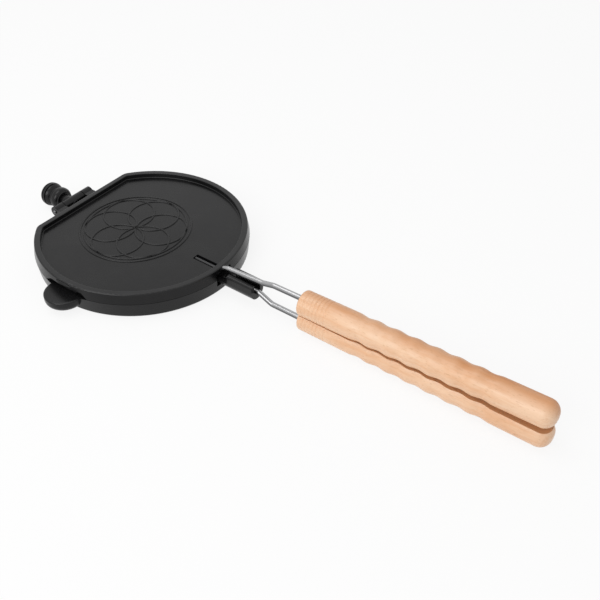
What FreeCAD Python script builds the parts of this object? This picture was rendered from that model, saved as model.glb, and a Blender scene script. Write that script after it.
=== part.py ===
import FreeCAD, Part
import math
import os

# Hand-held iron for baking waffle cones: two hinged cast plates on a pair of steel rods with wooden grips.
# Millimetres. X runs from the hinge to the grips, Y along the hinge pin, Z up from the table.

os.makedirs("parts", exist_ok=True)
doc = FreeCAD.newDocument("WaffleConeIron")

# Driving sizes
sheet = doc.addObject("Spreadsheet::Sheet", "Sizes")
sizes = [
    ("parting_height", 14.2),
    ("parting_gap", 0.3),
    ("parting_radius", 91.4),
    ("base_draft", 1.6),
    ("base_round", 2.6),
    ("crest_draft", 1.4),
    ("crest_rise", 9.0),
    ("chord_distance", 73.7),
    ("corner_radius", 7.5),
    ("rim_width", 5.0),
    ("rim_round", 1.3),
    ("rim_inner_round", 0.6),
    ("recess_depth", 4.2),
    ("recess_draft", 0.4),
    ("recess_round", 0.6),
    ("seal_width", 9.0),
    ("batter_depth", 0.6),
    ("groove_depth", 0.5),
    ("groove_width", 1.4),
    ("groove_pitch", 14.0),
    ("lip_radius", 16.5),
    ("lip_inset", 1.4),
    ("lip_drop", 1.2),
    ("lip_depth", 9.5),
    ("lip_round", 5.5),
    ("lip_edge_round", 1.2),
    ("dish_radius", 14.5),
    ("dish_depth", 0.6),
    ("dish_inset", 5.4),
    ("cove_height", 4.8),
    ("cove_inset", 4.0),
    ("cove_lean", 1.3),
    ("cove_sweep", 120.0),
    ("cove_shift", 2.0),
    ("brow_radius", 1.7),
    ("brow_inset", 2.0),
    ("brow_rise", 7.3),
    ("brow_sweep", 60.0),
    ("brow_shift", 1.5),
    ("hinge_offset", 14.5),
    ("pin_radius", 2.0),
    ("pin_proud", 1.2),
    ("running_clearance", 0.06),
    ("lug_radius", 4.8),
    ("lug_inner", 11.5),
    ("lug_width", 9.5),
    ("lug_arm_rise", 3.2),
    ("knuckle_radius", 4.8),
    ("knuckle_gap", 0.6),
    ("arm_drop", 6.2),
    ("arm_root", 4.0),
    ("neck_radius", 5.6),
    ("neck_length", 11.4),
    ("knob_drop", 3.1),
    ("bead_radius", 10.8),
    ("bead_length", 13.0),
    ("bead_round", 6.0),
    ("ring_radius", 10.2),
    ("ring_length", 8.5),
    ("ring_round", 3.4),
    ("bead_gap", 0.9),
    ("spindle_radius", 8.2),
    ("knob_groove", 0.6),
    ("knob_groove_pitch", 3.6),
    ("stud_radius", 2.4),
    ("stud_depth", 4.5),
    ("trough_radius", 7.6),
    ("trough_length", 33.6),
    ("trough_wall_rise", 7.2),
    ("trough_edge_round", 2.2),
    ("trough_slot", 7.6),
    ("trough_clearance", 8.3),
    ("trough_root", 6.4),
    ("pocket_radius", 13.0),
    ("pocket_depth", 4.5),
    ("pocket_drop", 7.0),
    ("pocket_rise", 5.5),
    ("rod_radius", 2.25),
    ("rod_bend", 7.0),
    ("upper_rod_inset", 31.0),
    ("upper_rod_seat_rise", 4.05),
    ("upper_rod_heel", 6.4),
    ("upper_rod_knee", 3.6),
    ("upper_rod_knee_rise", 8.3),
    ("upper_rod_bend", 39.6),
    ("upper_rod_bend_rise", 10.8),
    ("upper_rod_shoulder", 50.6),
    ("rod_slot_width", 6.2),
    ("rod_slot_inset", 6.8),
    ("rod_tang_radius", 1.3),
    ("rod_tang_gap", 0.05),
    ("lower_rod_inset", 8.4),
    ("lower_rod_seat_drop", 3.05),
    ("lower_rod_exit", 2.0),
    ("lower_rod_exit_drop", 0.8),
    ("lower_rod_shoulder", 48.1),
    ("grip_standoff", 79.0),
    ("grip_length", 205.6),
    ("grip_radius", 10.6),
    ("grip_flat", 6.9),
    ("grip_front_round", 1.5),
    ("grip_end_round", 8.8),
    ("grip_ring_start", 55.1),
    ("grip_ring_pitch", 16.7),
    ("grip_ring_depth", 1.1),
    ("grip_ring_radius", 26.0),
    ("grip_tilt", 1.37),
    ("grip_table_gap", 0.3),
    ("grip_gap", 0.35),
    ("grip_rod_height", 10.15),
    ("grip_rod_depth", 158.0),
]
ring_count = 7
for row, (alias, value) in enumerate(sizes, start=1):
    sheet.set("A%d" % row, alias)
    sheet.set("B%d" % row, str(value))
    sheet.setAlias("B%d" % row, alias)
doc.recompute()


def size(alias):
    return float(sheet.get(alias))


def bind(thing, **expressions):
    for key, text in expressions.items():
        path = {"x": "Placement.Base.x", "y": "Placement.Base.y", "z": "Placement.Base.z"}.get(key, key)
        words = text.replace("@", "Sizes.")
        thing.setExpression(path, words)
    return thing


def make(kind, name, turn=None, **expressions):
    thing = doc.addObject("Part::" + kind, name)
    if turn:
        thing.Placement.Rotation = turn
    return bind(thing, **expressions)


def join(name, pieces):
    thing = doc.addObject("Part::MultiFuse", name)
    thing.Shapes = pieces
    return thing


def cut(name, base, tool):
    thing = doc.addObject("Part::Cut", name)
    thing.Base = base
    thing.Tool = tool
    return thing


def common(name, base, tool):
    thing = doc.addObject("Part::Common", name)
    thing.Base = base
    thing.Tool = tool
    return thing


def rounded(name, base, chosen, radius):
    doc.recompute()
    thing = doc.addObject("Part::Fillet", name)
    thing.Base = base
    numbers = [i for i, edge in enumerate(base.Shape.Edges, start=1) if chosen(edge)]
    thing.Edges = [(i, size(radius), size(radius)) for i in numbers]
    doc.recompute()
    return thing


along_x = FreeCAD.Rotation(FreeCAD.Vector(0, 1, 0), 90)
along_y = FreeCAD.Rotation(FreeCAD.Vector(1, 0, 0), -90)


def upright(edge):
    ends = [vertex.Point for vertex in edge.Vertexes]
    return len(ends) == 2 and abs(ends[0].z - ends[1].z) > 0.5


def level(height):
    return lambda edge: all(abs(vertex.Point.z - height) < 0.001 for vertex in edge.Vertexes)


# Lower plate blank with its flat hinge side
lower_cone = make("Cone", "LowerCone", Radius1="@parting_radius - @base_draft", Radius2="@parting_radius",
                  Height="@parting_height - @parting_gap / 2")
lower_side = make("Box", "LowerSide", Length="@parting_radius", Width="4 * @parting_radius", Height="100",
                  x="-@chord_distance - @parting_radius", y="-2 * @parting_radius", z="-10")
lower_cut = cut("LowerCut", lower_cone, lower_side)
lower_corners = rounded("LowerCorners", lower_cut, upright, "corner_radius")
lower_blank = rounded("LowerBlank", lower_corners, level(0.0), "base_round")
lower_pocket = make("Cylinder", "LowerPocket", Radius="@pocket_radius", Height="@pocket_drop + 10",
                    x="@parting_radius + @pocket_radius - @pocket_depth", z="@parting_height - @pocket_drop")
lower_shell = cut("LowerShell", lower_blank, lower_pocket)

# Overflow lip, a small round ledge on the rim with a slightly dished top
lip_disc = make("Cylinder", "LipDisc", Radius="@lip_radius", Height="@lip_depth",
                y="-@parting_radius + @lip_inset", z="@parting_height - @lip_drop - @lip_depth")
doc.recompute()
lip_low = size("parting_height") - size("lip_drop") - size("lip_depth")
lip_high = size("parting_height") - size("lip_drop")
lip_bowl = rounded("LipBowl", lip_disc, level(lip_low), "lip_round")
lip = rounded("Lip", lip_bowl, level(lip_high), "lip_edge_round")
ball_radius = "(@dish_radius^2 + @dish_depth^2) / (2 * @dish_depth)"
dish_ball = make("Sphere", "DishBall", Radius=ball_radius, y="-@parting_radius + @lip_inset",
                 z="@parting_height - @lip_drop - @dish_depth + " + ball_radius)
dish_wall = make("Cylinder", "DishWall", Radius="@parting_radius - @dish_inset", Height="200", z="-20")
dish = cut("Dish", dish_ball, dish_wall)

# Trough for the rods: a deep gutter with a round bottom that starts in a pocket of the rim
trough_round = make("Cylinder", "TroughRound", Radius="@trough_radius", Height="@trough_length + @trough_root",
                    x="@parting_radius - @trough_root", z="@parting_height", turn=along_x)
trough_block = make("Box", "TroughBlock", Length="@trough_length + @trough_root", Width="2 * @trough_radius",
                    Height="@trough_wall_rise", x="@parting_radius - @trough_root", y="-@trough_radius",
                    z="@parting_height")
trough_top = level(size("parting_height") + size("trough_wall_rise"))
trough_walls = rounded("TroughWalls", trough_block,
                       lambda edge: trough_top(edge) and edge.BoundBox.YLength < 0.01,
                       "trough_edge_round")
trough_slot = make("Box", "TroughSlot", Length="@trough_length", Width="@trough_slot", Height="30",
                   x="@parting_radius + @running_clearance", y="-@trough_slot / 2",
                   z="@parting_height - @lower_rod_exit_drop")
trough_step = make("Box", "TroughStep", Length="@parting_radius + @trough_clearance",
                   Width="4 * @trough_radius",
                   Height="40", y="-2 * @trough_radius", z="@parting_height - @parting_gap / 2")

# Hinge knuckle on the lower plate, with a neck that carries the knob
knuckle = make("Cylinder", "Knuckle", Radius="@knuckle_radius", Height="2 * (@lug_inner - @knuckle_gap)",
               x="-@chord_distance - @hinge_offset", y="-@lug_inner + @knuckle_gap", z="@parting_height",
               turn=along_y)
knuckle_arm = make("Box", "KnuckleArm", Length="@hinge_offset + @arm_root",
                   Width="2 * (@lug_inner - @knuckle_gap)",
                   Height="@arm_drop - @parting_gap / 2", x="-@chord_distance - @hinge_offset",
                   y="-@lug_inner + @knuckle_gap", z="@parting_height - @arm_drop")
neck = make("Cylinder", "Neck", Radius="@neck_radius", Height="@neck_length + @hinge_offset",
            x="-@chord_distance - @hinge_offset - @neck_length", z="@parting_height - @knob_drop", turn=along_x)
neck_clear = make("Box", "NeckClear", Length="@hinge_offset", Width="4 * @neck_radius", Height="40",
                  x="-@chord_distance - @hinge_offset + @knuckle_radius", y="-2 * @neck_radius",
                  z="@parting_height - @parting_gap / 2")
lower_pin_bore = make("Cylinder", "LowerPinBore", Radius="@pin_radius + @running_clearance",
                      Height="4 * @lug_inner",
                      x="-@chord_distance - @hinge_offset", y="-2 * @lug_inner", z="@parting_height",
                      turn=along_y)
stud_bore = make("Cylinder", "StudBore", Radius="@stud_radius", Height="@stud_depth + 2",
                 x="-@chord_distance - @hinge_offset - @neck_length - 2", z="@parting_height - @knob_drop",
                 turn=along_x)


# Batter recess and its lattice of grooves, one for each plate
def recess(name, low, depth):
    disc = make("Cylinder", name + "Disc", Radius="@parting_radius - @seal_width", Height=depth, z=low)
    keep = make("Box", name + "Keep", Length="3 * @parting_radius", Width="4 * @parting_radius", Height="100",
                x="-@chord_distance + @seal_width", y="-2 * @parting_radius", z="-20")
    return common(name, disc, keep)


def lattice(name, low, depth):
    area = recess(name + "Area", low, depth)
    reach = int(size("parting_radius") / size("groove_pitch"))
    grids = []
    for word, lean in (("Left", 45), ("Right", -45)):
        turn = FreeCAD.Rotation(FreeCAD.Vector(0, 0, 1), lean)
        side = turn.multVec(FreeCAD.Vector(0, 1, 0))
        back = turn.multVec(FreeCAD.Vector(-1, 0, 0))
        bars = doc.addObject("Part::Compound", name + word + "Bars")
        made = []
        for i in range(-reach, reach + 1):
            bar = make("Box", name + word + "Bar", turn=turn, Length="4 * @parting_radius",
                       Width="@groove_width",
                       Height=depth, z=low,
                       x="%.6f * 2 * @parting_radius + %.6f * (%d * @groove_pitch - @groove_width / 2)"
                       % (back.x, side.x, i),
                       y="%.6f * 2 * @parting_radius + %.6f * (%d * @groove_pitch - @groove_width / 2)"
                       % (back.y, side.y, i))
            made.append(bar)
        bars.Links = made
        grids.append(common(name + word, bars, area))
    return grids


lower_face = recess("LowerFace", "@parting_height - @parting_gap / 2 - @batter_depth", "@batter_depth + 1")
lower_grid = lattice("LowerLattice", "@parting_height - @parting_gap / 2 - @batter_depth - @groove_depth",
                     "@groove_depth + 0.5")

# Grips are drawn lying on their flat, then placed
def grip(name, place):
    bar = make("Cylinder", name + "Bar", Radius="@grip_radius", Height="@grip_length", z="@grip_flat",
               turn=along_x)
    doc.recompute()
    front = rounded(name + "Front", bar, lambda edge: edge.BoundBox.XMax < 0.01, "grip_front_round")
    ends = rounded(name + "Ends", front, lambda edge: edge.BoundBox.XMin > size("grip_length") - 0.01,
                   "grip_end_round")
    flat = make("Box", name + "Flat", Length="@grip_length + 20", Width="4 * @grip_radius",
                Height="2 * @grip_radius",
                x="-10", y="-2 * @grip_radius", z="-2 * @grip_radius")
    tools = [flat]
    for i in range(ring_count):
        ring = make("Torus", name + "Ring", turn=along_x, Radius2="@grip_ring_radius",
                    Radius1="@grip_radius + @grip_ring_radius - @grip_ring_depth",
                    x="@grip_ring_start + %d * @grip_ring_pitch" % i, z="@grip_flat")
        tools.append(ring)
    bore = make("Cylinder", name + "Bore", Radius="@rod_radius", Height="@grip_rod_depth + 2", x="-2",
                z="@grip_rod_height", turn=along_x)
    tools.append(bore)
    shaped = ends
    for i, tool in enumerate(tools):
        shaped = cut("%sCut%d" % (name, i), shaped, tool)
    shaped.Placement = place
    return shaped


grip_front = size("parting_radius") + size("grip_standoff")
lower_flat = size("grip_table_gap") + size("grip_radius") + size("grip_flat")
lower_place = FreeCAD.Placement(
    FreeCAD.Vector(grip_front, 0, lower_flat),
    FreeCAD.Rotation(FreeCAD.Vector(1, 0, 0), 180))
upper_place = FreeCAD.Placement(
    FreeCAD.Vector(grip_front, 0, lower_flat + size("grip_gap")),
    FreeCAD.Rotation(FreeCAD.Vector(0, 1, 0), -size("grip_tilt")))
lower_grip = grip("LowerGrip", lower_place)
upper_grip = grip("UpperGrip", upper_place)


# Rods: a round section swept along a bent centre line
def centre_line(name, corners):
    points = [FreeCAD.Vector(x, 0, z) for x, z in corners]
    edges = []
    start = points[0]
    for before, corner, after in zip(points, points[1:], points[2:]):
        to_before = (before - corner).normalize()
        to_after = (after - corner).normalize()
        half = to_before.getAngle(to_after) / 2
        reach = size("rod_bend") / math.tan(half)
        first = corner + to_before * reach
        last = corner + to_after * reach
        middle_way = (to_before + to_after).normalize()
        middle = corner + middle_way * (size("rod_bend") / math.sin(half) - size("rod_bend"))
        edges.append(Part.LineSegment(start, first).toShape())
        edges.append(Part.Arc(first, middle, last).toShape())
        start = last
    edges.append(Part.LineSegment(start, points[-1]).toShape())
    line = doc.addObject("Part::Feature", name)
    line.Shape = Part.Wire(edges)
    return line


def rod(name, corners):
    line = centre_line(name + "Line", corners)
    run = FreeCAD.Vector(corners[1][0] - corners[0][0], 0, corners[1][1] - corners[0][1])
    section = make("Circle", name + "Section", Radius="@rod_radius")
    section.Placement = FreeCAD.Placement(
        FreeCAD.Vector(corners[0][0], 0, corners[0][1]),
        FreeCAD.Rotation(FreeCAD.Vector(0, 0, 1), run))
    doc.recompute()
    sweep = doc.addObject("Part::Sweep", name)
    sweep.Sections = [section]
    sweep.Spine = (line, ["Edge%d" % (i + 1) for i in range(len(line.Shape.Edges))])
    sweep.Solid = True
    sweep.Frenet = False
    return sweep


def in_grip(place, distance):
    point = place.multVec(FreeCAD.Vector(distance, 0, size("grip_rod_height")))
    return (point.x, point.z)


edge = size("parting_radius")
seam = size("parting_height")
lower_path = [
    (edge - size("lower_rod_inset"), seam - size("lower_rod_seat_drop")),
    (edge + size("trough_length") + size("lower_rod_exit"), seam - size("lower_rod_exit_drop")),
    in_grip(lower_place, size("lower_rod_shoulder") - size("grip_standoff")),
    in_grip(lower_place, size("grip_rod_depth")),
]
upper_path = [
    (edge - size("upper_rod_inset"), seam + size("upper_rod_seat_rise")),
    (edge - size("upper_rod_heel"), seam + size("upper_rod_seat_rise")),
    (edge + size("upper_rod_knee"), seam + size("upper_rod_knee_rise")),
    (edge + size("upper_rod_bend"), seam + size("upper_rod_bend_rise")),
    in_grip(upper_place, size("upper_rod_shoulder") - size("grip_standoff")),
    in_grip(upper_place, size("grip_rod_depth")),
]
lower_rod = rod("LowerRod", lower_path)
upper_wire = rod("UpperWire", upper_path)

# The tail of the upper rod is drawn down to a round tang that lies in its slot, below the sunken top
tail_block = make("Box", "TailBlock", Length="@upper_rod_inset - @rod_slot_inset + 2", Width="8 * @rod_radius",
                  Height="8 * @rod_radius", x="@parting_radius - @upper_rod_inset - 2", y="-4 * @rod_radius",
                  z="@parting_height + @upper_rod_seat_rise - 4 * @rod_radius")
tang = make("Cylinder", "Tang", Radius="@rod_tang_radius", Height="@upper_rod_inset + 4", turn=along_x,
            x="@parting_radius - @upper_rod_inset - 4",
            z="@parting_height + @upper_rod_seat_rise - @rod_radius + @rod_tang_radius + @rod_tang_gap")
tail_die = cut("TailDie", tail_block, tang)
upper_rod = cut("UpperRod", upper_wire, tail_die)


def rod_bore(name, corners, before, after):
    begin = FreeCAD.Vector(corners[0][0], 0, corners[0][1])
    run = FreeCAD.Vector(corners[1][0] - corners[0][0], 0, corners[1][1] - corners[0][1]).normalize()
    bore = make("Cylinder", name, Radius="@rod_radius")
    bore.Height = before + after
    bore.Placement = FreeCAD.Placement(begin - run * before, FreeCAD.Rotation(FreeCAD.Vector(0, 0, 1), run))
    return bore


lower_rod_bore = rod_bore("LowerRodBore", lower_path, 0.0, size("lower_rod_inset") + size("trough_length") + 3)

# Lower plate
lower_plate = join("LowerBody", [lower_shell, lip, trough_round, trough_walls, knuckle, knuckle_arm, neck])
lower_tools = [dish, trough_step, neck_clear, trough_slot, lower_face, lower_pin_bore, stud_bore,
               lower_rod_bore] + lower_grid
for i, tool in enumerate(lower_tools):
    lower_plate = cut("LowerPlateCut%d" % i, lower_plate, tool)

# Upper plate blank, sunken inside a half-round rim
upper_cone = make("Cone", "UpperCone", Radius1="@parting_radius", Radius2="@parting_radius - @crest_draft",
                  Height="@crest_rise - @parting_gap / 2", z="@parting_height + @parting_gap / 2")
upper_side = make("Box", "UpperSide", Length="@parting_radius", Width="4 * @parting_radius", Height="100",
                  x="-@chord_distance - @parting_radius", y="-2 * @parting_radius", z="-10")
upper_cut = cut("UpperCut", upper_cone, upper_side)
upper_corners = rounded("UpperCorners", upper_cut, upright, "corner_radius")
top_disc = make("Cone", "TopDisc", Radius1="@parting_radius - @crest_draft - @rim_width - @recess_draft",
                Radius2="@parting_radius - @crest_draft - @rim_width", Height="@recess_depth",
                z="@parting_height + @crest_rise - @recess_depth")
top_keep = make("Box", "TopKeep", Length="3 * @parting_radius", Width="4 * @parting_radius", Height="100",
                x="-@chord_distance + @rim_width", y="-2 * @parting_radius", z="-20")
top_common = common("TopCommon", top_disc, top_keep)
top_corners = rounded("TopCorners", top_common, upright, "rim_width")
crest = size("parting_height") + size("crest_rise")
top_recess = rounded("TopRecess", top_corners, level(crest - size("recess_depth")), "recess_round")
upper_dish = cut("UpperDish", upper_corners, top_recess)
on_crest = level(crest)


def outside(edge):
    middle = edge.valueAt((edge.FirstParameter + edge.LastParameter) / 2)
    reach = size("parting_radius") - size("crest_draft") - size("rim_width") / 2
    return math.hypot(middle.x, middle.y) > reach or middle.x < -size("chord_distance") + size("rim_width") / 2


upper_rim = rounded("UpperRim", upper_dish, lambda edge: on_crest(edge) and outside(edge), "rim_round")
upper_blank = rounded("UpperBlank", upper_rim, lambda edge: on_crest(edge) and not outside(edge),
                      "rim_inner_round")

# Hinge lugs on the upper plate
lugs = []
for word, offset in (("Near", "-@lug_inner - @lug_width"), ("Far", "@lug_inner")):
    eye = make("Cylinder", word + "LugEye", Radius="@lug_radius", Height="@lug_width",
               x="-@chord_distance - @hinge_offset", y=offset, z="@parting_height", turn=along_y)
    arm = make("Box", word + "LugArm", Length="@hinge_offset + @rim_width / 2", Width="@lug_width",
               Height="@lug_arm_rise - @parting_gap / 2", x="-@chord_distance - @hinge_offset", y=offset,
               z="@parting_height + @parting_gap / 2")
    lugs.extend([eye, arm])
upper_pin_bore = make("Cylinder", "UpperPinBore", Radius="@pin_radius",
                      Height="2 * @lug_inner + 4 * @lug_width",
                      x="-@chord_distance - @hinge_offset", y="-@lug_inner - 2 * @lug_width",
                      z="@parting_height",
                      turn=along_y)

# Rod slot, pocket over the trough, and over the lip a deep cove with a shallow one above it
rod_slot = make("Box", "RodSlot", Length="@upper_rod_inset - @rod_slot_inset + 0.6", Width="@rod_slot_width",
                Height="20", x="@parting_radius - @upper_rod_inset - 0.6", y="-@rod_slot_width / 2",
                z="@parting_height + @upper_rod_seat_rise - @rod_radius - @rod_tang_gap")
upper_pocket = make("Cylinder", "UpperPocket", Radius="@pocket_radius", Height="@pocket_rise + 10",
                    x="@parting_radius + @pocket_radius - @pocket_depth", z="@parting_height - 10")
cove = make("Cone", "Cove", Radius1="@cove_sweep + @cove_lean", Radius2="@cove_sweep", Height="@cove_height",
            x="@cove_shift", y="-@parting_radius + @cove_inset - @cove_sweep", z="@parting_height")
brow = make("Torus", "Brow", Radius1="@brow_sweep", Radius2="@brow_radius", x="@brow_shift",
            y="-@parting_radius + @brow_inset - @brow_radius - @brow_sweep", z="@parting_height + @brow_rise")
upper_face = recess("UpperFace", "@parting_height + @parting_gap / 2 - 1", "@batter_depth + 1")
upper_grid = lattice("UpperLattice", "@parting_height + @parting_gap / 2 + @batter_depth - 0.5",
                     "@groove_depth + 0.5")
upper_plate = join("UpperBody", [upper_blank] + lugs)
upper_tools = [rod_slot, upper_pocket, cove, brow, upper_face, upper_pin_bore, upper_wire] + upper_grid
for i, tool in enumerate(upper_tools):
    upper_plate = cut("UpperPlateCut%d" % i, upper_plate, tool)

# Hinge pin with domed ends
pin_bar = make("Cylinder", "PinBar", Radius="@pin_radius", Height="2 * (@lug_inner + @lug_width + @pin_proud)",
               x="-@chord_distance - @hinge_offset", y="-@lug_inner - @lug_width - @pin_proud",
               z="@parting_height",
               turn=along_y)
doc.recompute()
hinge_pin = rounded("HingePin", pin_bar, lambda edge: abs(edge.BoundBox.YLength) < 0.01, "pin_proud")

# Ribbed knob on its stud
knob_back = "-@chord_distance - @hinge_offset - @neck_length"
knob_level = "@parting_height - @knob_drop"
ring_bar = make("Cylinder", "RingBar", Radius="@ring_radius", Height="@ring_length", turn=along_x,
                x=knob_back + " - @bead_gap - @ring_length", z=knob_level)
ring_bead = rounded("RingBead", ring_bar, lambda edge: edge.BoundBox.XLength < 0.01, "ring_round")
bead_bar = make("Cylinder", "BeadBar", Radius="@bead_radius", Height="@bead_length", turn=along_x,
                x=knob_back + " - 2 * @bead_gap - @ring_length - @bead_length", z=knob_level)
bead = rounded("Bead", bead_bar, lambda edge: edge.BoundBox.XLength < 0.01, "bead_round")
spindle = make("Cylinder", "Spindle", Radius="@spindle_radius",
               Height="2 * @bead_gap + @ring_length + @bead_length / 2",
               turn=along_x, x=knob_back + " - 2 * @bead_gap - @ring_length - @bead_length / 2", z=knob_level)
stud = make("Cylinder", "Stud", Radius="@stud_radius", Height="@stud_depth + @ring_length", turn=along_x,
            x=knob_back + " - @ring_length", z=knob_level)
pivot_knob = join("KnobAndStud", [ring_bead, bead, spindle, stud])
for i in (-0.5, 0.5):
    groove_at = knob_back + (" - 2 * @bead_gap - @ring_length - @bead_length / 2 + %.1f * @knob_groove_pitch"
                             " - @knob_groove" % i)
    groove_out = make("Cylinder", "GrooveOut", Radius="2 * @bead_radius", Height="2 * @knob_groove",
                      turn=along_x,
                      x=groove_at, z=knob_level)
    groove_in = make("Cylinder", "GrooveIn", Radius="@bead_radius - 1.5 * @knob_groove",
                     Height="2 * @knob_groove",
                     turn=along_x, x=groove_at, z=knob_level)
    groove = cut("KnobGroove", groove_out, groove_in)
    pivot_knob = cut("KnobCut", pivot_knob, groove)

doc.recompute()

# Named pieces, each checked and written to its own file
nodes = [
    ("lower_plate", lower_plate),
    ("upper_plate", upper_plate),
    ("hinge_pin", hinge_pin),
    ("pivot_knob", pivot_knob),
    ("lower_rod", lower_rod),
    ("upper_rod", upper_rod),
    ("lower_grip", lower_grip),
    ("upper_grip", upper_grip),
]
for thing in doc.Objects:
    if "Invalid" in thing.State or "Error" in thing.State:
        raise RuntimeError("%s failed" % thing.Name)
for name, thing in nodes:
    thing.Label = name
    shape = thing.Shape
    if shape.isNull() or not shape.isValid():
        raise RuntimeError("%s has no sound shape" % name)
    print(name, "solids", len(shape.Solids), "volume", round(shape.Volume), "box", shape.BoundBox)
    shape.exportStep("parts/%s.step" % name)
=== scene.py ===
import math

import bpy
from mathutils import Matrix, Vector


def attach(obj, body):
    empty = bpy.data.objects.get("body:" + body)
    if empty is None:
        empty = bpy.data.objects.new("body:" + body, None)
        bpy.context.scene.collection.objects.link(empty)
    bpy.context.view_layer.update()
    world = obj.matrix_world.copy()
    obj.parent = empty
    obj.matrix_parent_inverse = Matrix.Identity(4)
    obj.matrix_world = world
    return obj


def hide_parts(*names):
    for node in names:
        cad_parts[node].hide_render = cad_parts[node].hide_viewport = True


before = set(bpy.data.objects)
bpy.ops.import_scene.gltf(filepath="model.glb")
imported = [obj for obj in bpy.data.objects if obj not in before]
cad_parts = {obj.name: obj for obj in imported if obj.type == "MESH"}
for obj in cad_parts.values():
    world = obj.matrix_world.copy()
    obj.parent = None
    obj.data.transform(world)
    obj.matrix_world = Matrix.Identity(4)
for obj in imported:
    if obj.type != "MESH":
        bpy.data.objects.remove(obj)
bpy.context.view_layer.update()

scene = bpy.context.scene
scene.view_settings.view_transform = "Standard"
print("frame loaded:", sorted(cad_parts))


# Shader expressions: a socket with the operators that the finishes use
class Wire:
    def __init__(self, tree, socket):
        self.tree = tree
        self.socket = socket

    def math(self, operation, *values):
        node = self.tree.nodes.new("ShaderNodeMath")
        node.operation = operation
        for slot, value in zip(node.inputs, values):
            plug(self.tree, slot, value)
        return Wire(self.tree, node.outputs[0])

    def __add__(self, other):
        return self.math("ADD", self, other)

    def __radd__(self, other):
        return self.math("ADD", other, self)

    def __sub__(self, other):
        return self.math("SUBTRACT", self, other)

    def __rsub__(self, other):
        return self.math("SUBTRACT", other, self)

    def __mul__(self, other):
        return self.math("MULTIPLY", self, other)

    def __rmul__(self, other):
        return self.math("MULTIPLY", other, self)


def plug(tree, slot, value):
    if isinstance(value, Wire):
        tree.links.new(value.socket, slot)
    elif slot.type == "RGBA":
        slot.default_value = (*value, 1.0)
    else:
        slot.default_value = value


# A material: its nodes are made by kind, and its surface is set at the end
class Finish:
    def __init__(self, name):
        self.material = bpy.data.materials.new(name)
        self.material.use_nodes = True
        self.tree = self.material.node_tree
        self.shader = self.tree.nodes["Principled BSDF"]

    def node(self, kind, output=0, **values):
        made = self.tree.nodes.new("ShaderNode" + kind)
        for key, value in values.items():
            plug(self.tree, made.inputs[key.replace("_", " ")], value)
        return Wire(self.tree, made.outputs[output])

    def streaks(self, place, scale, detail, rough=0.5):
        stretched = self.node("Mapping", Vector=place, Scale=scale)
        return self.node("TexNoise", Vector=stretched, Scale=1.0, Detail=detail, Roughness=rough)

    def between(self, value, low, high):
        return self.node("MapRange", Value=value, From_Min=low, From_Max=high)

    def ramp(self, factor, *stops):
        made = self.tree.nodes.new("ShaderNodeValToRGB")
        for element, (place, colour) in zip(made.color_ramp.elements, stops):
            element.position = place
            element.color = (*colour, 1.0)
        plug(self.tree, made.inputs[0], factor)
        return Wire(self.tree, made.outputs[0])

    # A colour mix has its factor at slot 0, its colours at 6 and 7 and its result at 2
    def blend(self, factor, first, second):
        made = self.tree.nodes.new("ShaderNodeMix")
        made.data_type = "RGBA"
        for slot, value in ((0, factor), (6, first), (7, second)):
            plug(self.tree, made.inputs[slot], value)
        return Wire(self.tree, made.outputs[2])

    def set(self, **values):
        for key, value in values.items():
            plug(self.tree, self.shader.inputs[key.replace("_", " ")], value)


def wear(obj, finish):
    obj.data.materials.clear()
    obj.data.materials.append(finish.material)


# Seasoned cast iron, burnished along the crest of the rim, where the lighter colour is also a painted
# highlight
ironLook = {
    "base": (0.0035, 0.0035, 0.0038), "worn": (0.0075, 0.0074, 0.0078), "crest": (0.02, 0.02, 0.0205),
    "baseAt": 0.35, "wornAt": 0.75, "crestLow": 0.0222, "crestHigh": 0.0232, "crestLeast": 0.35,
    "crestGain": 0.9, "cloudScale": 38.0, "cloudDetail": 5.0, "cloudMix": 0.62, "grainScale": 900.0,
    "grainDetail": 3.0, "grainMix": 0.6, "pitScale": 520.0, "rough": 0.25, "cloudRough": 0.14,
    "grainRough": 0.08, "crestPolish": 0.05, "specular": 0.28, "grainShare": 0.6, "pitShare": 0.4,
    "bump": 0.14, "bumpDepth": 0.0002,
}


def makeIron():
    look = ironLook
    finish = Finish("seasonedIron")
    place = finish.node("TexCoord", output="Object")
    height = finish.node("SeparateXYZ", output="Z", Vector=place)
    cloud = finish.node("TexNoise", Vector=place, Scale=look["cloudScale"], Detail=look["cloudDetail"],
                        Roughness=look["cloudMix"])
    grain = finish.node("TexNoise", Vector=place, Scale=look["grainScale"], Detail=look["grainDetail"],
                        Roughness=look["grainMix"])
    pits = finish.node("TexVoronoi", Vector=place, Scale=look["pitScale"])
    tone = finish.ramp(cloud, (look["baseAt"], look["base"]), (look["wornAt"], look["worn"]))
    crest = finish.between(height, look["crestLow"], look["crestHigh"])
    # Lighter crest colour: burnished wear together with a painted highlight along the top of the rim
    rubbedAndSheen = crest * (look["crestLeast"] + look["crestGain"] * cloud)
    colour = finish.blend(rubbedAndSheen, tone, look["crest"])
    texture = grain * look["grainShare"] + pits * look["pitShare"]
    bump = finish.node("Bump", Height=texture, Strength=look["bump"], Distance=look["bumpDepth"])
    uneven = look["rough"] + look["cloudRough"] * (cloud - 0.5) + look["grainRough"] * (grain - 0.5)
    rough = uneven - look["crestPolish"] * rubbedAndSheen
    finish.set(Base_Color=colour, Roughness=rough, Normal=bump, Specular_IOR_Level=look["specular"])
    return finish


# Dark turned steel of the hinge pin
pinLook = {
    "light": (0.2, 0.2, 0.205), "dark": (0.09, 0.09, 0.093), "lightAt": 0.7, "darkAt": 0.35,
    "cloudScale": 320.0, "cloudDetail": 4.0, "rough": 0.3, "cloudRough": 0.2,
    "bump": 0.15, "bumpDepth": 0.0001,
}


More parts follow.
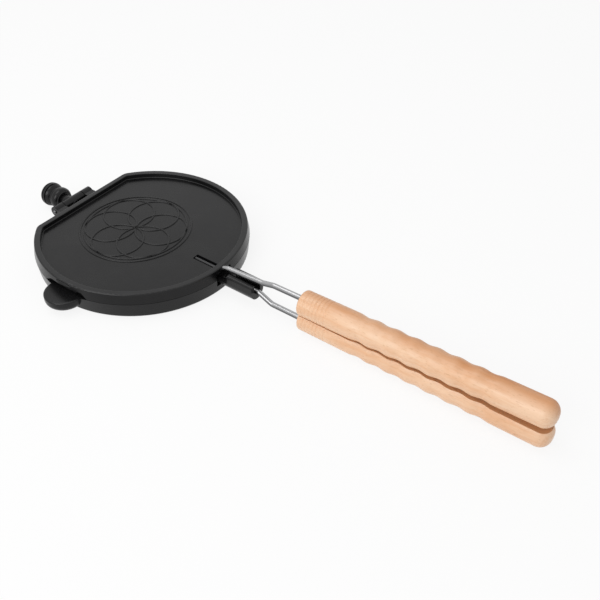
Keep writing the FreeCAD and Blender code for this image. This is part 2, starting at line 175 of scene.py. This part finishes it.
def makePinSteel():
    look = pinLook
    finish = Finish("darkPinSteel")
    place = finish.node("TexCoord", output="Object")
    cloud = finish.node("TexNoise", Vector=place, Scale=look["cloudScale"], Detail=look["cloudDetail"])
    tone = finish.ramp(cloud, (look["darkAt"], look["dark"]), (look["lightAt"], look["light"]))
    bump = finish.node("Bump", Height=cloud, Strength=look["bump"], Distance=look["bumpDepth"])
    rough = look["rough"] + look["cloudRough"] * (cloud - 0.5)
    finish.set(Base_Color=tone, Metallic=1.0, Roughness=rough, Normal=bump)
    return finish


# Drawn wire with painted shade underneath and a painted highlight on top, and blackened where it lies in
# the casting
wireLook = {
    "paintedHighlight": (0.37, 0.37, 0.375), "paintedShade": (0.1, 0.1, 0.103), "black": (0.016, 0.016, 0.017),
    "shadeBelowFacing": -0.1, "highlightAboveFacing": 0.8, "castingEdge": 0.0893, "edgeFade": 0.0006,
    "lineScale": (40.0, 1500.0, 1500.0), "lineDetail": 2.0, "lineTone": 0.35, "lineRough": 0.14,
    "rough": 0.26, "blackRough": 0.45, "bump": 0.1, "bumpDepth": 0.0001,
}


def makeWire():
    look = wireLook
    finish = Finish("drawnWire")
    place = finish.node("TexCoord", output="Object")
    facing = finish.node("TexCoord", output="Normal")
    along = finish.node("SeparateXYZ", output="X", Vector=place)
    upward = finish.node("SeparateXYZ", output="Z", Vector=facing)
    bare = finish.between(along, look["castingEdge"] - look["edgeFade"], look["castingEdge"])
    lines = finish.streaks(place, look["lineScale"], look["lineDetail"])
    # Painted highlight on upward-facing sides and painted shade on downward-facing ones, streaked along
    # the wire
    light = upward + look["lineTone"] * (lines - 0.5)
    paintedLitMask = finish.between(light, look["shadeBelowFacing"], look["highlightAboveFacing"])
    steel = finish.blend(paintedLitMask, look["paintedShade"], look["paintedHighlight"])
    colour = finish.blend(bare, look["black"], steel)
    bump = finish.node("Bump", Height=lines, Strength=look["bump"], Distance=look["bumpDepth"])
    steelRough = look["rough"] + look["lineRough"] * (lines - 0.5)
    rough = look["blackRough"] * (1.0 - bare) + steelRough * bare
    finish.set(Base_Color=colour, Metallic=bare, Roughness=rough, Normal=bump)
    return finish


# Turned beech: soft grain, ray flecks, painted shade on the planed faces and up and back on the upper grip
beechLook = {
    "pale": (0.875, 0.595, 0.4), "warm": (0.8, 0.47, 0.275), "warmTopShade": (0.62, 0.25, 0.08),
    "fleck": (0.5, 0.26, 0.12), "paintedGapShade": (0.6, 0.3, 0.14), "paleAt": 0.56, "warmAt": 0.38,
    "broadScale": (16.0, 90.0, 90.0), "broadDetail": 3.0, "broadShare": 0.6,
    "fineScale": (45.0, 520.0, 520.0), "fineDetail": 4.0, "fineMix": 0.6, "fineShare": 0.4,
    "fleckScale": (300.0, 1400.0, 1400.0), "fleckDetail": 1.0, "fleckFrom": 0.62, "fleckTo": 0.72,
    "fleckShare": 0.35, "axisFrom": 0.1704, "axisHeight": 0.02505, "axisSlope": 0.0239,
    "topShadeUp": 0.75, "topShadeBack": 0.65, "topShadeFrom": -0.001, "topShadeTo": 0.0075, "topShadeLeast": 0.58,
    "streakFrom": 0.62, "streakTo": 0.42, "streakGain": 0.32, "rearFrom": 0.19, "rearTo": 0.36,
    "rearLeast": 0.6, "rearGain": 0.7, "flatLow": 0.01772, "flatHigh": 0.01835,
    "rough": 0.36, "fineRough": 0.14, "specular": 0.45, "bump": 0.1, "bumpDepth": 0.0003,
}


def makeBeech():
    look = beechLook
    finish = Finish("turnedBeech")
    place = finish.node("TexCoord", output="Object")
    x, y, z = [finish.node("SeparateXYZ", output=axis, Vector=place) for axis in "XYZ"]
    broad = finish.streaks(place, look["broadScale"], look["broadDetail"])
    fine = finish.streaks(place, look["fineScale"], look["fineDetail"], look["fineMix"])
    flecks = finish.streaks(place, look["fleckScale"], look["fleckDetail"])
    grain = broad * look["broadShare"] + fine * look["fineShare"]
    tone = finish.ramp(grain, (look["warmAt"], look["warm"]), (look["paleAt"], look["pale"]))
    rise = look["axisSlope"] * (x - look["axisFrom"])
    # Painted shade: a warmer, darker tone on the top and back of the upper grip, patchy with the grain and
    # stronger toward the rear
    side = look["topShadeUp"] * (z - rise - look["axisHeight"]) + look["topShadeBack"] * y
    warmTopShade = finish.between(side, look["topShadeFrom"], look["topShadeTo"])
    streak = finish.between(broad, look["streakFrom"], look["streakTo"])
    rear = finish.between(x, look["rearFrom"], look["rearTo"])
    warmTopShade = warmTopShade * (look["topShadeLeast"] + look["streakGain"] * streak)
    warmTopShade = warmTopShade * (look["rearLeast"] + look["rearGain"] * rear)
    withTopShade = finish.blend(warmTopShade, tone, look["warmTopShade"])
    dash = finish.between(flecks, look["fleckFrom"], look["fleckTo"])
    flecked = finish.blend(dash * look["fleckShare"], withTopShade, look["fleck"])
    # Painted shade on the planed flat faces, where the two grips face each other across the gap
    above = z.math("GREATER_THAN", z, look["flatLow"])
    below = z.math("LESS_THAN", z - rise, look["flatHigh"])
    colour = finish.blend(above * below, flecked, look["paintedGapShade"])
    bump = finish.node("Bump", Height=fine, Strength=look["bump"], Distance=look["bumpDepth"])
    rough = look["rough"] + look["fineRough"] * (fine - 0.5)
    finish.set(Base_Color=colour, Roughness=rough, Normal=bump, Specular_IOR_Level=look["specular"])
    return finish


iron = makeIron()
pinSteel = makePinSteel()
wire = makeWire()
beech = makeBeech()
for name in ("lower_plate", "upper_plate", "pivot_knob"):
    wear(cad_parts[name], iron)
wear(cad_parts["hinge_pin"], pinSteel)
for name in ("lower_rod", "upper_rod"):
    wear(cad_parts[name], wire)
print("finishes made")


def select(*chosen):
    bpy.ops.object.select_all(action="DESELECT")
    for obj in chosen:
        obj.select_set(True)
    bpy.context.view_layer.objects.active = chosen[0]


def settle(obj):
    select(obj)
    bpy.ops.object.transform_apply(location=True, rotation=True, scale=True)


# Grips: a turned profile spun round the bar's middle, then planed flat on one side
gripShape = {
    "front": 0.1704, "length": 0.2056, "radius": 0.01057, "flat": 0.0069, "frontRound": 0.0018,
    "endRound": 0.0088, "valleyStart": 0.0551, "pitch": 0.0167, "valleys": 7, "depth": 0.0009,
    "toolStart": 0.0055, "toolPitch": 0.0033, "toolCuts": 7, "toolDepth": 0.00036, "toolWidth": 0.0016,
    "frontSteps": 6, "endSteps": 12, "toolSteps": 4, "valleySteps": 12, "leastStep": 0.0005, "facets": 72,
    "mergeGap": 1e-5, "flatGap": 1e-6, "edgeSoft": 0.0007, "edgeSegments": 3, "smoothAngle": 40,
    "lowerLevel": 0.0178, "upperLevel": 0.01815, "tilt": 1.37,
}


def gripRadius(x):
    g = gripShape
    dip = 0.0
    first = g["valleyStart"] - g["pitch"] / 2
    if first < x < first + g["valleys"] * g["pitch"]:
        dip = g["depth"] * 0.5 * (1 - math.cos(2 * math.pi * (x - first) / g["pitch"]))
    for i in range(g["toolCuts"]):
        away = abs(x - g["toolStart"] - i * g["toolPitch"]) / (g["toolWidth"] / 2)
        if away < 1:
            dip += g["toolDepth"] * 0.5 * (1 + math.cos(math.pi * away))
    return g["radius"] - dip


def gripProfile():
    g = gripShape
    points = [(0.0, 0.0)]
    for i in range(g["frontSteps"] + 1):
        turn = math.pi / 2 * i / g["frontSteps"]
        points.append((g["frontRound"] * (1 - math.cos(turn)),
                       g["radius"] - g["frontRound"] + g["frontRound"] * math.sin(turn)))
    stop = g["length"] - g["endRound"]
    fineEnd = g["toolStart"] + g["toolCuts"] * g["toolPitch"]
    x = g["frontRound"]
    while x < stop - g["leastStep"]:
        step = g["toolWidth"] / g["toolSteps"] if x < fineEnd else g["pitch"] / g["valleySteps"]
        x = min(stop, x + step)
        points.append((x, gripRadius(x)))
    inner = g["radius"] - g["endRound"]
    for i in range(1, g["endSteps"] + 1):
        turn = math.pi / 2 * i / g["endSteps"]
        points.append((stop + g["endRound"] * math.sin(turn), inner + g["endRound"] * math.cos(turn)))
    points.append((g["length"], 0.0))
    return points


def spinGrip(name):
    g = gripShape
    points = gripProfile()
    bpy.ops.mesh.primitive_plane_add(size=0.001, location=(0, 0, 0))
    obj = bpy.context.object
    obj.name = name
    bpy.ops.object.mode_set(mode="EDIT")
    bpy.ops.mesh.select_all(action="SELECT")
    bpy.ops.mesh.merge(type="CENTER")
    for (x0, r0), (x1, r1) in zip(points, points[1:]):
        bpy.ops.mesh.extrude_region_move(TRANSFORM_OT_translate={"value": (x1 - x0, 0, r1 - r0)})
    bpy.ops.mesh.select_all(action="SELECT")
    bpy.ops.mesh.spin(steps=g["facets"], angle=2 * math.pi, center=(0, 0, 0), axis=(1, 0, 0))
    bpy.ops.mesh.select_all(action="SELECT")
    bpy.ops.mesh.remove_doubles(threshold=g["mergeGap"])
    bpy.ops.mesh.normals_make_consistent(inside=False)
    bpy.ops.mesh.select_all(action="SELECT")
    bpy.ops.mesh.bisect(plane_co=(0, 0, -g["flat"]), plane_no=(0, 0, 1), clear_inner=True, use_fill=True)
    bpy.ops.object.mode_set(mode="OBJECT")
    return obj


def softenFlat(obj):
    g = gripShape
    rim = obj.data.attributes.new("bevel_weight_edge", "FLOAT", "EDGE")
    flat = [abs(v.co.z + g["flat"]) < g["flatGap"] for v in obj.data.vertices]
    for edge in obj.data.edges:
        if flat[edge.vertices[0]] and flat[edge.vertices[1]]:
            rim.data[edge.index].value = 1.0
    soften = obj.modifiers.new("softEdge", "BEVEL")
    soften.limit_method = "WEIGHT"
    soften.width = g["edgeSoft"]
    soften.segments = g["edgeSegments"]
    bpy.ops.object.modifier_apply(modifier="softEdge")
    bpy.ops.object.shade_smooth_by_angle(angle=math.radians(g["smoothAngle"]))


def makeGrip(name, level, turned, tilt, body, node):
    g = gripShape
    obj = spinGrip(name)
    softenFlat(obj)
    lift = Matrix.Translation((0, 0, g["flat"]))
    tip = Matrix.Rotation(math.radians(-tilt), 4, "Y")
    turn = Matrix.Rotation(math.pi if turned else 0.0, 4, "X") @ tip
    obj.matrix_world = Matrix.Translation((g["front"], 0, level)) @ turn @ lift
    settle(obj)
    wear(obj, beech)
    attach(obj, body)
    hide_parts(node)


makeGrip("turnedGripLower", gripShape["lowerLevel"], True, 0.0, "lower_half", "lower_grip")
makeGrip("turnedGripUpper", gripShape["upperLevel"], False, gripShape["tilt"], "upper_half", "upper_grip")
print("grips turned")

# Low relief cast on the sunken top: a compass-drawn rosette of six circles inside two rings
reliefShape = {
    "middle": (-0.008, 0.0), "level": 0.019, "outerRing": 0.0475, "innerRing": 0.044, "petals": 6,
    "line": 0.00085, "flatten": 0.85, "ringFacets": 96, "lineFacets": 10, "smoothAngle": 50,
}


def addRing(radius, middle):
    r = reliefShape
    bpy.ops.mesh.primitive_torus_add(major_radius=radius, minor_radius=r["line"], location=middle,
                                     major_segments=r["ringFacets"], minor_segments=r["lineFacets"])
    return bpy.context.object


def makeRelief():
    r = reliefShape
    parts = [addRing(r["outerRing"], (0, 0, 0)), addRing(r["innerRing"], (0, 0, 0))]
    petal = r["innerRing"] / 2
    for i in range(r["petals"]):
        angle = 2 * math.pi * (i + 0.5) / r["petals"]
        parts.append(addRing(petal, (petal * math.cos(angle), petal * math.sin(angle), 0)))
    select(*parts)
    bpy.ops.object.join()
    obj = bpy.context.object
    obj.name = "topRelief"
    settle(obj)
    bpy.ops.object.mode_set(mode="EDIT")
    bpy.ops.mesh.select_all(action="SELECT")
    bpy.ops.transform.resize(value=(1, 1, r["flatten"]), center_override=(0, 0, 0))
    bpy.ops.transform.translate(value=(*r["middle"], r["level"]))
    bpy.ops.mesh.normals_make_consistent(inside=False)
    bpy.ops.object.mode_set(mode="OBJECT")
    bpy.ops.object.shade_smooth_by_angle(angle=math.radians(r["smoothAngle"]))
    wear(obj, iron)
    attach(obj, "upper_half")


makeRelief()
print("top relief cast")

# Floor and surroundings: near white where they are seen, weaker as light
stageLook = {
    "floor": (0.9, 0.9, 0.9), "floorRough": 0.9, "floorSize": 8.0, "floorPlace": (0.15, 0.0, -0.0002),
    "white": 0.86, "ambient": 0.55,
}


def isSeen(tree):
    path = tree.nodes.new("ShaderNodeLightPath")
    camera, glossy, through = [Wire(tree, path.outputs["Is " + kind + " Ray"])
                               for kind in ("Camera", "Glossy", "Transmission")]
    return camera.math("MINIMUM", camera + glossy + through, 1.0)


def makeFloor():
    bpy.ops.mesh.primitive_plane_add(size=stageLook["floorSize"], location=stageLook["floorPlace"])
    floor = bpy.context.object
    floor.name = "floor"
    paper = Finish("whitePaper")
    paper.set(Base_Color=stageLook["floor"], Roughness=stageLook["floorRough"], Specular_IOR_Level=0.0)
    tree = paper.tree
    glow = tree.nodes.new("ShaderNodeEmission")
    blend = tree.nodes.new("ShaderNodeMixShader")
    plug(tree, blend.inputs[0], isSeen(tree) * stageLook["white"])
    tree.links.new(paper.shader.outputs[0], blend.inputs[1])
    tree.links.new(glow.outputs[0], blend.inputs[2])
    tree.links.new(blend.outputs[0], tree.nodes["Material Output"].inputs[0])
    wear(floor, paper)


def makeWorld():
    world = bpy.data.worlds.new("studio")
    scene.world = world
    world.use_nodes = True
    tree = world.node_tree
    background = tree.nodes["Background"]
    background.inputs[0].default_value = (1, 1, 1, 1)
    plug(tree, background.inputs[1], isSeen(tree) * (1.0 - stageLook["ambient"]) + stageLook["ambient"])


def addAimed(name, data, place, aim):
    obj = bpy.data.objects.new(name, data)
    scene.collection.objects.link(obj)
    obj.location = place
    obj.rotation_euler = (Vector(aim) - Vector(place)).to_track_quat("-Z", "Y").to_euler()
    return obj


# Lamps: a broad one in front and a softer one above the plates
lamps = {
    "frontLamp": {"place": (0.1, -1.1, 0.75), "aim": (0.12, 0, 0), "size": (0.9, 0.7), "watts": 6.2},
    "topLamp": {"place": (-0.3, -0.15, 1.2), "aim": (0.05, 0, 0), "size": (0.8, 0.8), "watts": 4.2},
}


def addLamp(name, place, aim, size, watts):
    lamp = bpy.data.lights.new(name, "AREA")
    lamp.shape = "RECTANGLE"
    lamp.size, lamp.size_y = size
    lamp.energy = watts
    addAimed(name, lamp, place, aim)


# The photograph's own viewpoint, with the focal length in pixels of its frame
photoCamera = {
    "place": (0.4618, -0.4019, 0.4529), "aim": (0.1492, 0.0243, 0.0), "focalPixels": 859.33,
    "framePixels": 600.0, "sensor": 36.0,
}


def addCamera():
    c = photoCamera
    data = bpy.data.cameras.new("photoCamera")
    data.sensor_width = c["sensor"]
    data.lens = c["focalPixels"] / c["framePixels"] * c["sensor"]
    scene.camera = addAimed("photoCamera", data, c["place"], c["aim"])


makeFloor()
makeWorld()
for name, lamp in lamps.items():
    addLamp(name, **lamp)
addCamera()
print("stage set")
